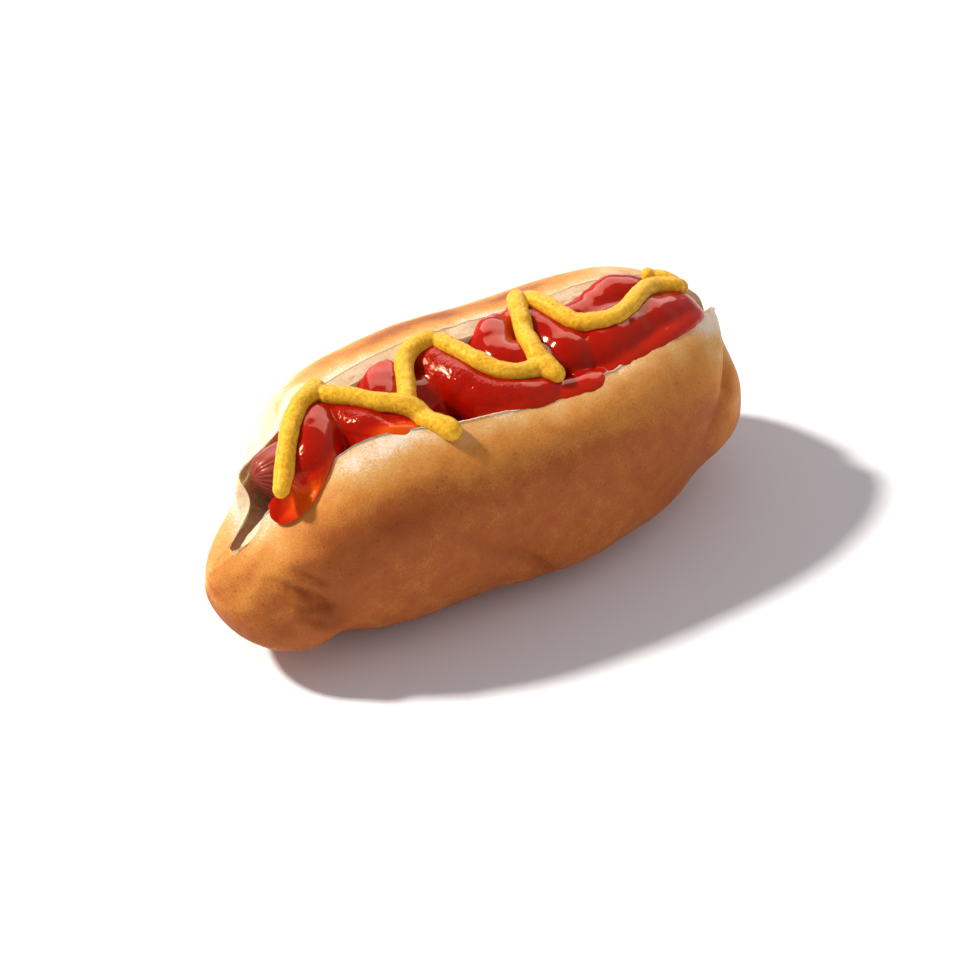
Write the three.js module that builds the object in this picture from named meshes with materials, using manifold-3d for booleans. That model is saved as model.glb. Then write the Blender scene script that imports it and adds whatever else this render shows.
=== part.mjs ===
// Hot dog: a split bun holding a sausage under ketchup and a mustard zigzag.
// Millimetres, +Z up, +X along the bun, origin in the middle of the bun's base.
import * as THREE from 'three';
import { mergeVertices } from 'three/addons/utils/BufferGeometryUtils.js';
import Module from 'manifold-3d';

// Bun
const BUN_HALF_LENGTH = 70;
const BUN_NEAR_WIDTH = 33;
const BUN_FAR_WIDTH = 33;
const BUN_WAIST_HEIGHT = 25;
const BUN_HEIGHT_ABOVE_WAIST = 31;
const BUN_DEPTH_BELOW_WAIST = 26;
const BUN_END_ROUNDNESS = 2.6;
const BUN_TOP_ROUNDNESS = 2.3;
const BUN_BASE_ROUNDNESS = 3.0;
const BUN_HEEL_BASE_ROUNDNESS = 3.9;
const BUN_BOW = 3;
const BUN_LEAN = -1.5;

// Cut along the top of the bun
const NEAR_LIP_ANGLE = 30;
const LEFT_NEAR_LIP_ANGLE = 22;
const NEAR_LIP_DIP = 8;
const NEAR_LIP_DIP_AT = -63;
const NEAR_LIP_DIP_REACH = 6;
const TIP_NEAR_LIP_TURN = 14;
const FAR_LIP_ANGLE = 17;
const LEFT_FAR_LIP_ANGLE = 35;
const TIP_FAR_LIP_TURN = 50;
const CLOSED_LIP_ANGLE = 5;
const CLOSED_FROM = 0.995;
const RIGHT_END_OPENS_BY = 0.74;
const CUT_SQUARENESS = 2.6;
const LEFT_CUT_SQUARENESS = 4.5;
const CUT_FLOOR_LEFT = 27;
const CUT_FLOOR_RIGHT = 27;
const FAR_SHELF = 5;
const NEAR_SHELF = 0.5;
const SHELF_SLOPE = 0.42;
const SHELF_DROP = 5;

// Sausage
const SAUSAGE_RADIUS = 11.5;
const SAUSAGE_LEFT_TIP = -59;
const SAUSAGE_RIGHT_TIP = 60;
const SAUSAGE_AXIS_Y = 1.5;
const SAUSAGE_AXIS_HEIGHT = 32;
const SAUSAGE_LEFT_RISE = 12.8;
const SAUSAGE_LEFT_BEND = 1.5;
const SAUSAGE_RIGHT_RISE = 3;
const SAUSAGE_LEFT_END_SQUARENESS = 4.5;
const SAUSAGE_RIGHT_END_SQUARENESS = 7;

// Mustard bead and the gap left between neighbouring solids
const MUSTARD_RADIUS = 2.3;
const CLEARANCE = 0.3;

// Mesh fineness
const BUN_STATIONS = 50;
const BUN_OUTSIDE_POINTS = 34;
const BUN_CUT_POINTS = 18;

// Local swellings and hollows of the bun: middle, reach and movement
const SWELLINGS = [
  { name: 'far wall left', at: [-30, 20, 50], reach: [22, 22, 30], by: [-1, 0, 2] },
  { name: 'far wall middle', at: [-4, 20, 54], reach: [14, 22, 20], by: [0, 0, 1.3] },
  { name: 'far wall dip', at: [18, 20, 54], reach: [16, 22, 20], by: [0, 0, -1.3] },
  { name: 'far wall right', at: [46, 16, 48], reach: [22, 22, 30], by: [5, 2, 0.3] },
  { name: 'near lip middle', at: [12, -14, 52], reach: [26, 14, 20], by: [0, -4, -3] },
  { name: 'near belly left', at: [-14, -33, 8], reach: [20, 16, 16], by: [0, 1.5, 0.5] },
  { name: 'near belly middle', at: [8, -32, 8], reach: [15, 14, 15], by: [0, -3.2, 0] },
  { name: 'near belly right', at: [52, -28, 8], reach: [11, 16, 22], by: [-0.5, 3.2, 0] },
  { name: 'heel fold', at: [-49, -27, 4], reach: [6, 12, 12], by: [0, 3.5, 1] },
  { name: 'heel near side', at: [-66, -18, 6], reach: [15, 14, 14], by: [0, -3.6, 0] },
  { name: 'heel base', at: [-68, -8, 2], reach: [16, 18, 8], by: [-5, -2.5, 0] },
  { name: 'left heel', at: [-68, 3, 17], reach: [20, 24, 15], by: [-6.2, -1, 0] },
  { name: 'left end bulge', at: [-69, 5, 31], reach: [9, 10, 7], by: [-3.8, 0, 0] },
  { name: 'left far rim', at: [-63, 10, 41], reach: [8, 8, 8], by: [-10, 0, 3] },
  { name: 'left upper end', at: [-72, 9, 46], reach: [24, 26, 14.5], by: [13, 0, 0] },
  { name: 'left far shoulder', at: [-67, 22, 34], reach: [17, 16, 30], by: [7, -7, 0] },
  { name: 'near lip left', at: [-52, -14, 46], reach: [16, 12, 14], by: [2, 0, 1] },
  { name: 'near lip right', at: [50, -12, 46], reach: [16, 12, 16], by: [0, 2, 2] },
  { name: 'right upper end', at: [65, -8, 48], reach: [9, 14, 7], by: [3.6, 0, 0.5] },
  { name: 'right end hollow', at: [68, -8, 35], reach: [10, 20, 5.5], by: [-2.6, 0, 0] },
  { name: 'right heel', at: [70, -6, 12], reach: [14, 30, 14], by: [1, 0, 0] },
];

// Ketchup lobes: middle line and radius at each point
const KETCHUP_LOBES = [
  { name: 'bed', line: [[-50, 0, 45, 5.5], [-30, 2, 45.5, 6.5], [0, 3, 45.5, 6.5], [30, 2, 45.5, 6.5],
    [58, 1, 44, 5]] },
  { name: 'left spill', line: [[-63, -7, 42.5, 3.4], [-59, -9, 44, 4.2], [-55, -9.5, 45.5, 4.8],
    [-51, -7, 46.5, 5.2], [-46, -2, 48, 6], [-42, 4, 48.5, 6.5], [-38, 9, 48.5, 6],
    [-36, 12, 48, 5]] },
  { name: 'second ribbon', line: [[-36, 10, 48.5, 5.5], [-34, 3, 48.5, 6], [-31, -3, 48.5, 6],
    [-27, -8, 48.5, 5.2], [-21, -12, 48.5, 4]] },
  { name: 'third ribbon', line: [[-22, -9, 48.5, 5], [-25, -3, 48.5, 5.5], [-24, 4, 49, 6],
    [-19, 11, 49, 6], [-14, 14.5, 48.5, 5]] },
  { name: 'middle wave', line: [[-14, 14, 48.5, 5], [-8, 9, 49.2, 6], [-6.5, 4, 49.2, 6],
    [-5, -2, 49, 6], [-2.5, -7.5, 48, 6], [2, -11, 47.5, 6], [9, -12.5, 47, 6], [15, -10, 47, 6]] },
  { name: 'middle crest', line: [[15, -10, 47.5, 6], [13, -4, 48.5, 5.5], [7, 0, 49.2, 6],
    [8, 6, 49.2, 6], [12, 10, 49.2, 6], [15, 14, 48.8, 5]] },
  { name: 'fourth ribbon', line: [[15, 14, 48.8, 5.5], [19, 8, 49, 6.2], [21, 1, 48.6, 6.6],
    [22, -6, 48, 6.8], [22, -12, 47, 6]] },
  { name: 'right wave', line: [[22, -8, 47.5, 7], [31, -7, 47.5, 7.5], [41, -5, 47, 7.5],
    [51, -4, 46, 7], [60, -3, 44.5, 5.5]] },
  { name: 'right edge', line: [[24, -15, 47.5, 3.5], [33, -14, 48, 3.6], [43, -12.5, 48, 3.6],
    [52, -10, 47.5, 3.4], [60, -7, 46, 3]] },
  { name: 'right crest', line: [[24, 6, 47.5, 5.5], [31, 5, 47, 5.5], [38, 7, 47.2, 5.5],
    [45, 8, 47.2, 6], [53, 5, 46.5, 5.5]] },
];

// Mustard strands of the zigzag, from left to right
const MUSTARD_STRANDS = [
  [[-59, -9, 49.6], [-56, -5.5, 51.3], [-50.5, 1, 53], [-46.5, 5.2, 54], [-43, 8, 54.8],
    [-38.5, 10, 55.2], [-35, 12, 55.4]],
  [[-38, 9.2, 55.2], [-32, 3.4, 54.8], [-28.5, -0.8, 54.6], [-25, -3.5, 54.3], [-21.5, -6.8, 53.8],
    [-20.5, -11, 53.3], [-18.2, -15.8, 52.4], [-17.3, -18.2, 51.8]],
  [[-22, -4, 53.5], [-18.2, 2.4, 53.4], [-15.5, 7.3, 54], [-12, 10.2, 55], [-8, 11.2, 56],
    [-4, 11.1, 56.5]],
  [[-5, 11, 56.4], [-2.7, 3.4, 55.6], [-1.2, -1.7, 55], [1, -5.6, 54.4], [4, -8.2, 54],
    [9, -9, 54.2], [12, -9.5, 54.4]],
  [[20.8, 14.8, 55.3], [18, 10, 55.8], [15.3, 4.2, 55.6], [13.3, -0.7, 55.2], [12, -5.7, 54.6],
    [12.2, -10.4, 54], [13.5, -15, 52.8]],
  [[21.5, 14, 55.3], [23.8, 6, 55.2], [24.6, 1.2, 55], [26.2, -2.5, 54.8], [29.6, -4.8, 54.8],
    [34, -5.9, 54.8], [39, -4.6, 54.6], [45.5, -1, 54], [50.5, 0.9, 53.4], [55, 0.2, 52.2],
    [58, -1.6, 50.6]],
  [[57.8, -1.2, 50.8], [58, 2.9, 52], [55.4, 5.6, 53.2], [52, 7.2, 53.6]],
];

const wasm = await Module();
wasm.setup();

/** Eases from 0 at a to 1 at b. */
function ease(a, b, x) {
  const t = THREE.MathUtils.clamp((x - a) / (b - a), 0, 1);
  return t * t * (3 - 2 * t);
}

/** Raises a signed number to a power and keeps its sign. */
function signedPower(value, power) {
  return Math.sign(value) * Math.abs(value) ** power;
}

/** Lofts a closed body from pole to pole; pointAt takes along and around, each 0 to 1. */
function loft(along, around, pointAt) {
  const geometry = new THREE.SphereGeometry(1, around, along);
  const where = geometry.attributes.position;
  for (let row = 0; row <= along; row += 1) {
    const isPole = row === 0 || row === along;
    for (let column = 0; column <= around; column += 1) {
      const point = pointAt(row / along, isPole ? 0 : (column % around) / around);
      where.setXYZ(row * (around + 1) + column, ...point);
    }
  }
  geometry.deleteAttribute('normal');
  geometry.deleteAttribute('uv');
  return mergeVertices(geometry, 1e-4);
}

/** Moves a point by the bun's swellings and keeps it above the base. */
function swell([x, y, z]) {
  const moved = [x, y, z];
  for (const { at, reach, by } of SWELLINGS) {
    const far = ((x - at[0]) / reach[0]) ** 2 + ((y - at[1]) / reach[1]) ** 2
      + ((z - at[2]) / reach[2]) ** 2;
    const weight = Math.exp(-far);
    by.forEach((step, axis) => {
      moved[axis] += weight * step;
    });
  }
  moved[2] = Math.max(moved[2], 0);
  return moved;
}

/** Height of the sausage's middle line at x. */
function sausageHeight(x) {
  const rise = x < 0 ? SAUSAGE_LEFT_RISE : SAUSAGE_RIGHT_RISE;
  return SAUSAGE_AXIS_HEIGHT + rise * (x / SAUSAGE_RIGHT_TIP) ** 2;
}

/** Place of the sausage's middle line across the bun at x. */
function sausageSide(x) {
  return SAUSAGE_AXIS_Y + (x < 0 ? SAUSAGE_LEFT_BEND : 0) * (x / SAUSAGE_RIGHT_TIP) ** 2;
}

/** Angles of the near and far lip from the top at x, in radians. */
function lipAngles(x) {
  const opening = ease(BUN_HALF_LENGTH, BUN_HALF_LENGTH * RIGHT_END_OPENS_BY, x);
  const near = LEFT_NEAR_LIP_ANGLE + (NEAR_LIP_ANGLE - LEFT_NEAR_LIP_ANGLE) * ease(-40, -12, x)
    - NEAR_LIP_DIP * Math.exp(-(((x - NEAR_LIP_DIP_AT) / NEAR_LIP_DIP_REACH) ** 2))
    + TIP_NEAR_LIP_TURN * ease(-66.5, -68.5, x);
  const far = FAR_LIP_ANGLE + (LEFT_FAR_LIP_ANGLE - FAR_LIP_ANGLE) * ease(-38, -56, x)
    - TIP_FAR_LIP_TURN * ease(-61.5, -70.5, x);
  return [near, far].map((angle) => THREE.MathUtils.degToRad(
    CLOSED_LIP_ANGLE + (angle - CLOSED_LIP_ANGLE) * opening));
}

/** Section of the bun at one station, as a function of the way around it. */
function bunSection(along) {
  const cosine = -Math.cos(Math.PI * along);
  const x = BUN_HALF_LENGTH * cosine;
  const size = Math.max((1 - Math.abs(cosine) ** BUN_END_ROUNDNESS) ** (1 / BUN_END_ROUNDNESS),
    0.001);
  const middle = BUN_BOW * (1 - cosine * cosine) + BUN_LEAN * cosine;
  const [nearAngle, farAngle] = lipAngles(x);
  const base = THREE.MathUtils.lerp(BUN_BASE_ROUNDNESS, BUN_HEEL_BASE_ROUNDNESS, ease(-45, -62, x));
  const squareness = THREE.MathUtils.lerp(CUT_SQUARENESS, LEFT_CUT_SQUARENESS, ease(-50, -62, x));

  const crust = (angle) => {
    const sine = Math.sin(angle);
    const rise = Math.cos(angle);
    const width = size * (sine < 0 ? BUN_NEAR_WIDTH : BUN_FAR_WIDTH);
    const height = size * (rise > 0 ? BUN_HEIGHT_ABOVE_WAIST : BUN_DEPTH_BELOW_WAIST);
    const power = rise > 0 ? BUN_TOP_ROUNDNESS : base;
    const radius = (Math.abs(sine / width) ** power + Math.abs(rise / height) ** power)
      ** (-1 / power);
    return [middle + radius * sine, BUN_WAIST_HEIGHT + radius * rise];
  };

  const restingFloor = sausageHeight(x) - SAUSAGE_RADIUS - CLEARANCE;
  const floor = restingFloor
    + (CUT_FLOOR_LEFT - restingFloor) * ease(-BUN_HALF_LENGTH * 0.8, -BUN_HALF_LENGTH, x)
    + (CUT_FLOOR_RIGHT - restingFloor) * ease(BUN_HALF_LENGTH * 0.7, BUN_HALF_LENGTH, x);
  const nearLip = crust(-nearAngle);
  const farLip = crust(farAngle);
  const cutShare = ease(0, 8, (nearLip[1] + farLip[1]) / 2 - floor)
    * ease(-BUN_HALF_LENGTH * CLOSED_FROM, -BUN_HALF_LENGTH * (CLOSED_FROM - 0.012), x);
  const gap = Math.abs(farLip[1] - nearLip[1]) + Math.abs(farLip[0] - nearLip[0]);
  const inner = ease(-60, -46, x) * ease(66, 50, x);
  const shelfDrop = (away, shelf) => SHELF_SLOPE * away
    + SHELF_DROP * Math.max(0, away - shelf * inner);

  const cut = (share) => {
    const plain = crust(-nearAngle + share * (nearAngle + farAngle));
    const across = (1 - signedPower(Math.cos(Math.PI * share), 2 / squareness)) / 2;
    const line = nearLip[1] + (farLip[1] - nearLip[1]) * across;
    const drop = Math.min(
      Math.max(0, line - floor) * Math.sin(Math.PI * share) ** (2 / squareness),
      shelfDrop((1 - across) * gap, FAR_SHELF),
      shelfDrop(across * gap, NEAR_SHELF),
    );
    const y = nearLip[0] + (farLip[0] - nearLip[0]) * across;
    return [THREE.MathUtils.lerp(plain[0], y, cutShare),
      THREE.MathUtils.lerp(plain[1], line - drop, cutShare)];
  };

  const total = BUN_CUT_POINTS + BUN_OUTSIDE_POINTS;
  return (around) => {
    const index = Math.round(around * total);
    const section = index <= BUN_CUT_POINTS
      ? cut(index / BUN_CUT_POINTS)
      : crust(farAngle + (index - BUN_CUT_POINTS) / BUN_OUTSIDE_POINTS
        * (2 * Math.PI - nearAngle - farAngle));
    return swell([x, ...section]);
  };
}

/** The bun's loaf, with its cut but without the sausage's seat. */
function makeLoaf() {
  const sections = new Map();
  return loft(BUN_STATIONS, BUN_CUT_POINTS + BUN_OUTSIDE_POINTS, (along, around) => {
    if (!sections.has(along)) {
      sections.set(along, bunSection(along));
    }
    return sections.get(along)(around);
  });
}

/** The sausage, a slightly bent rod with rounded ends. */
function makeSausage() {
  const middle = (SAUSAGE_LEFT_TIP + SAUSAGE_RIGHT_TIP) / 2;
  const half = (SAUSAGE_RIGHT_TIP - SAUSAGE_LEFT_TIP) / 2;
  return loft(30, 16, (along, around) => {
    const cosine = -Math.cos(Math.PI * along);
    const x = middle + half * cosine;
    const power = cosine < 0 ? SAUSAGE_LEFT_END_SQUARENESS : SAUSAGE_RIGHT_END_SQUARENESS;
    const radius = SAUSAGE_RADIUS * (1 - Math.abs(cosine) ** power) ** (1 / 2);
    const turn = 2 * Math.PI * around;
    return [x, sausageSide(x) - radius * Math.cos(turn),
      sausageHeight(x) + radius * Math.sin(turn)];
  });
}

/** A bead with round ends laid along points that each carry a radius. */
function makeBead(points, rows, columns, endSquareness) {
  const curve = new THREE.CatmullRomCurve3(points.map(([x, y, z]) => new THREE.Vector3(x, y, z)));
  const up = new THREE.Vector3(0, 0, 1);
  return loft(rows, columns, (along, around) => {
    const place = (1 - Math.cos(Math.PI * along)) / 2;
    const step = Math.min(Math.floor(place * (points.length - 1)), points.length - 2);
    const share = place * (points.length - 1) - step;
    const girth = THREE.MathUtils.lerp(points[step][3], points[step + 1][3], ease(0, 1, share));
    const radius = girth
      * (1 - Math.abs(2 * place - 1) ** endSquareness) ** (1 / 2);
    const tangent = curve.getTangent(place);
    const side = new THREE.Vector3().crossVectors(up, tangent).normalize();
    const lift = new THREE.Vector3().crossVectors(tangent, side);
    const turn = 2 * Math.PI * around;
    return curve.getPoint(place)
      .addScaledVector(side, -radius * Math.cos(turn))
      .addScaledVector(lift, radius * Math.sin(turn))
      .toArray();
  });
}

/** A copy grown outwards by the clearance. */
function grown(geometry) {
  const copy = geometry.clone();
  copy.computeVertexNormals();
  const where = copy.attributes.position;
  const normal = copy.attributes.normal;
  for (let i = 0; i < where.count; i += 1) {
    where.setXYZ(i, where.getX(i) + CLEARANCE * normal.getX(i),
      where.getY(i) + CLEARANCE * normal.getY(i), where.getZ(i) + CLEARANCE * normal.getZ(i));
  }
  copy.deleteAttribute('normal');
  return copy;
}

/** Turns a geometry into a solid that can be joined and cut. */
function toSolid(geometry) {
  return new wasm.Manifold(new wasm.Mesh({
    numProp: 3,
    vertProperties: new Float32Array(geometry.attributes.position.array),
    triVerts: new Uint32Array(geometry.index.array),
  }));
}

/** Joins several solids into one. */
function joined(solids) {
  return solids.reduce((sum, solid) => sum.add(solid));
}

/** Reads a solid back and keeps its largest connected body. */
function toGeometry(solid) {
  const mesh = solid.getMesh();
  const raw = new THREE.BufferGeometry();
  raw.setAttribute('position', new THREE.BufferAttribute(mesh.vertProperties, 3));
  raw.setIndex(new THREE.BufferAttribute(mesh.triVerts, 1));
  const geometry = mergeVertices(raw, 1e-5);
  const index = geometry.index.array;
  const parent = Array.from({ length: geometry.attributes.position.count }, (_, i) => i);
  const root = (vertex) => {
    let top = vertex;
    while (parent[top] !== top) {
      parent[top] = parent[parent[top]];
      top = parent[top];
    }
    return top;
  };
  for (let i = 0; i < index.length; i += 3) {
    parent[root(index[i + 1])] = root(index[i]);
    parent[root(index[i + 2])] = root(index[i]);
  }
  const faces = new Map();
  for (let i = 0; i < index.length; i += 3) {
    const key = root(index[i]);
    if (!faces.has(key)) {
      faces.set(key, []);
    }
    faces.get(key).push(index[i], index[i + 1], index[i + 2]);
  }
  const largest = [...faces.values()].sort((a, b) => b.length - a.length)[0];
  geometry.setIndex(largest);
  return geometry;
}

/** A named mesh with a plain colour. */
function makeNode(name, geometry, colour, roughness) {
  const node = new THREE.Mesh(geometry, new THREE.MeshStandardMaterial({ color: colour, roughness }));
  node.name = name;
  return node;
}

const loaf = makeLoaf();
const sausage = makeSausage();
const lobes = KETCHUP_LOBES.map(({ line }) => makeBead(line, 12, 12, 6));
const strands = MUSTARD_STRANDS.map((line) => makeBead(
  line.map((point) => [...point, MUSTARD_RADIUS]), Math.round(2.2 * line.length), 6, 14));

const grownLoaf = toSolid(grown(loaf)).add(toSolid(loaf));
const grownSausage = toSolid(grown(sausage));
const bread = toSolid(loaf).subtract(grownSausage);
const ketchup = joined(lobes.map(toSolid)).subtract(grownSausage).subtract(grownLoaf);
const mustard = joined(strands.map(toSolid))
  .subtract(joined(lobes.map((lobe) => toSolid(grown(lobe)))))
  .subtract(grownLoaf)
  .subtract(grownSausage);

const hotDog = new THREE.Group();
hotDog.name = 'hot_dog';
hotDog.add(makeNode('bun', toGeometry(bread), 0xd9985a, 0.8));
hotDog.add(makeNode('sausage', sausage, 0xb1422a, 0.4));
hotDog.add(makeNode('ketchup', toGeometry(ketchup), 0xb01505, 0.2));
hotDog.add(makeNode('mustard', toGeometry(mustard), 0xe5b032, 0.45));

// The origin is the middle of the box around the whole
const middle = new THREE.Box3().setFromObject(hotDog).getCenter(new THREE.Vector3());
hotDog.children.forEach((node) => node.geometry.translate(-middle.x, -middle.y, 0));

export default hotDog;
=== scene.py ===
"""Dresses a hot dog: a split bun with a sausage, ketchup and a mustard zigzag, in a plain studio."""
import logging
import math
from collections.abc import Sequence
from dataclasses import dataclass, field
from enum import Enum

import bpy
import numpy as np
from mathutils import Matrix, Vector
from mathutils.bvhtree import BVHTree


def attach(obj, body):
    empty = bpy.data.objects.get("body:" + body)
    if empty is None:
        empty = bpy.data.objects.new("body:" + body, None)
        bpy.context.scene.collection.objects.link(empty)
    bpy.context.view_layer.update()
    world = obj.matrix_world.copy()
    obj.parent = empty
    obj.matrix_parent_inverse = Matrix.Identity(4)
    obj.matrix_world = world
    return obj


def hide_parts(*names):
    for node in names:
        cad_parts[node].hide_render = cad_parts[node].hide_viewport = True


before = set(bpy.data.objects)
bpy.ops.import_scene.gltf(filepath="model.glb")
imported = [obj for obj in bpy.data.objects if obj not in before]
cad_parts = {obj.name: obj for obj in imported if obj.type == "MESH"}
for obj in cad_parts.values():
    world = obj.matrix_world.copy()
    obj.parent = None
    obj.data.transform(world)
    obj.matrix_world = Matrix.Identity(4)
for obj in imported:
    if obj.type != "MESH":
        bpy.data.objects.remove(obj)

LOG = logging.getLogger("hot_dog")
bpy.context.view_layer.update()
MM = 0.001
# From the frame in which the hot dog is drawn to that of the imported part, in millimetres
SHIFT = np.array([1.7947, -2.1475, 0.0])
ROOT = "root"


class Slot(Enum):
    """Material slots of the record."""

    BREAD = "bread"
    SAUSAGE = "sausage"
    KETCHUP = "ketchup"
    MUSTARD = "mustard"


# Number helpers


def ease(start: float, end: float, value: np.ndarray | float) -> np.ndarray:
    """Eases from 0 to 1.

    Args:
        start: Value where the result is 0.
        end: Value where the result is 1; it may lie below start.
        value: The values to ease.

    Returns:
        The eased values, between 0 and 1.
    """
    share = np.clip((np.asarray(value, float) - start) / (end - start), 0.0, 1.0)
    return share * share * (3.0 - 2.0 * share)


def signed_power(value: np.ndarray, power: float) -> np.ndarray:
    """Raises values to a power and keeps their sign."""
    return np.sign(value) * np.abs(value) ** power


def bell(points: np.ndarray, at: Sequence[float], reach: Sequence[float]) -> np.ndarray:
    """Weighs points by how near they lie to a spot.

    Args:
        points: Points, one a row.
        at: Middle of the spot.
        reach: Distance along each axis at which the weight has fallen to 0.37.

    Returns:
        One weight a point, 1 in the middle.
    """
    away = (points - np.asarray(at, float)) / np.asarray(reach, float)
    return np.exp(-(away**2).sum(axis=-1))


def distance_to_path(points: np.ndarray,
                     path: Sequence[Sequence[float]]) -> tuple[np.ndarray, np.ndarray]:
    """Measures how far points lie from a bent line.

    Args:
        points: Points, one a row.
        path: Corners of the line.

    Returns:
        One distance a point, and how far along the line its foot lies, from 0 to 1.
    """
    corners = np.asarray(path, float)
    nearest = np.full(len(points), np.inf)
    along_line = np.zeros(len(points))
    count = len(corners) - 1
    for number, (start, end) in enumerate(zip(corners[:-1], corners[1:])):
        along = end - start
        share = np.clip((points - start) @ along / (along @ along), 0.0, 1.0)
        gap = np.linalg.norm(points - start - share[:, None] * along, axis=1)
        along_line = np.where(gap < nearest, (number + share) / count, along_line)
        nearest = np.minimum(nearest, gap)
    return nearest, along_line


@dataclass
class Noise:
    """Smooth seeded noise over space, for many points at once."""

    seed: int
    order: np.ndarray = field(init=False)
    slopes: np.ndarray = field(init=False)

    def __post_init__(self) -> None:
        """Draws the table of slopes."""
        draw = np.random.default_rng(self.seed)
        once = draw.permutation(256)
        self.order = np.concatenate([once, once, once])
        slopes = draw.normal(size=(256, 3))
        self.slopes = slopes / np.linalg.norm(slopes, axis=1, keepdims=True)

    def smooth(self, points: np.ndarray, size: float) -> np.ndarray:
        """Reads the noise.

        Args:
            points: Points, one a row.
            size: Width of one bump, in the points' unit.

        Returns:
            Values of about -1 to 1.
        """
        place = points / size
        corner = np.floor(place).astype(int)
        part = place - corner
        blend = part**3 * (part * (part * 6 - 15) + 10)
        total = np.zeros(len(points))
        for step in np.ndindex(2, 2, 2):
            cell = (corner + step) % 256
            pick = self.order[self.order[self.order[cell[:, 0]] + cell[:, 1]] + cell[:, 2]]
            value = ((part - step) * self.slopes[pick]).sum(axis=1)
            weight = np.prod(np.where(np.array(step) == 1, blend, 1 - blend), axis=1)
            total += weight * value
        return total * 1.5

    def layered(self, points: np.ndarray, size: float, layers: int) -> np.ndarray:
        """Adds ever finer and fainter noise.

        Args:
            points: Points, one a row.
            size: Width of the coarsest bump.
            layers: How many layers, each half as wide and strong as the last.

        Returns:
            Values of about -1 to 1.
        """
        total = np.zeros(len(points))
        for layer in range(layers):
            total += self.smooth(points + 17.3 * layer, size / 2**layer) / 2**layer
        return total / (2 - 2 ** (1 - layers))

    def pores(self, points: np.ndarray, size: float) -> np.ndarray:
        """Measures the way to the nearest scattered pore.

        Args:
            points: Points, one a row.
            size: Usual spacing of the pores.

        Returns:
            Distances as a share of the spacing, 0 in a pore's middle.
        """
        place = points / size
        corner = np.floor(place).astype(int)
        nearest = np.full(len(points), 9.0)
        for step in np.ndindex(3, 3, 3):
            cell = corner + np.array(step) - 1
            index = cell % 256
            pick = self.order[self.order[self.order[index[:, 0]] + index[:, 1]] + index[:, 2]]
            middle = cell + 0.5 + 0.45 * self.slopes[pick]
            nearest = np.minimum(nearest, np.linalg.norm(place - middle, axis=1))
        return nearest


# Mesh helpers


def loft(rings: np.ndarray, start: np.ndarray, end: np.ndarray) -> tuple[np.ndarray, list[list[int]]]:
    """Skins a row of rings and closes both ends with a point.

    Args:
        rings: Points as ring, place around, axis.
        start: Point that closes the first ring.
        end: Point that closes the last ring.

    Returns:
        The points and the faces, which look outwards.
    """
    count, around = rings.shape[:2]
    points = np.vstack([rings.reshape(-1, 3), start, end])
    row, column = np.meshgrid(np.arange(count - 1), np.arange(around), indexing="ij")
    first = (row * around + column).ravel()
    second = (row * around + (column + 1) % around).ravel()
    faces = np.column_stack([first, second, second + around, first + around]).tolist()
    last = (count - 1) * around
    ring = np.arange(around)
    follow = (ring + 1) % around
    start_cap = np.column_stack([np.full(around, count * around), follow, ring])
    end_cap = np.column_stack([np.full(around, count * around + 1), last + ring, last + follow])
    faces += start_cap.tolist() + end_cap.tolist()
    if enclosed_volume(points, faces) < 0:
        faces = [face[::-1] for face in faces]
    return points, faces


def to_triangles(faces: list[list[int]]) -> np.ndarray:
    """Splits faces of three or four corners into triangles."""
    quads = np.array([face for face in faces if len(face) == 4], int).reshape(-1, 4)
    threes = np.array([face for face in faces if len(face) == 3], int).reshape(-1, 3)
    return np.vstack([quads[:, [0, 1, 2]], quads[:, [0, 2, 3]], threes])


def enclosed_volume(points: np.ndarray, faces: list[list[int]]) -> float:
    """Measures the signed volume inside the faces."""
    a, b, c = (points[corner] for corner in to_triangles(faces).T)
    return float(np.einsum("ij,ij->i", a, np.cross(b, c)).sum() / 6.0)


def normals_of(points: np.ndarray, faces: list[list[int]]) -> np.ndarray:
    """Works out one outward direction a point.

    Args:
        points: Points, one a row.
        faces: Faces of three or four corners.

    Returns:
        Unit vectors, one a point.
    """
    triangles = to_triangles(faces)
    a, b, c = (points[corner] for corner in triangles.T)
    weight = np.cross(b - a, c - a)
    total = np.zeros_like(points)
    for corner in triangles.T:
        np.add.at(total, corner, weight)
    return total / np.maximum(np.linalg.norm(total, axis=1, keepdims=True), 1e-12)


def make_piece(
    name: str,
    points: np.ndarray,
    faces: list[list[int]],
    marks: dict[str, np.ndarray] | None = None,
) -> bpy.types.Object:
    """Makes a smooth mesh piece from points in the maker's millimetres.

    Args:
        name: Name of the piece.
        points: Points, one a row.
        faces: Faces of three or four corners.
        marks: Values to keep on the points, for the materials.

    Returns:
        The new piece.
    """
    mesh = bpy.data.meshes.new(name)
    mesh.from_pydata(((points + SHIFT) * MM).tolist(), [], faces)
    mesh.shade_smooth()
    for mark, values in (marks or {}).items():
        mesh.attributes.new(mark, "FLOAT", "POINT").data.foreach_set("value", values.astype(np.float32))
    piece = bpy.data.objects.new(name, mesh)
    bpy.context.scene.collection.objects.link(piece)
    return piece


def points_of(piece: bpy.types.Object) -> np.ndarray:
    """Reads a piece's points back in the maker's millimetres."""
    flat = np.zeros(len(piece.data.vertices) * 3, np.float32)
    piece.data.vertices.foreach_get("co", flat)
    return flat.reshape(-1, 3).astype(float) / MM - SHIFT


def faces_of(piece: bpy.types.Object) -> list[list[int]]:
    """Reads a piece's faces back."""
    return [list(face.vertices) for face in piece.data.polygons]


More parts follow.
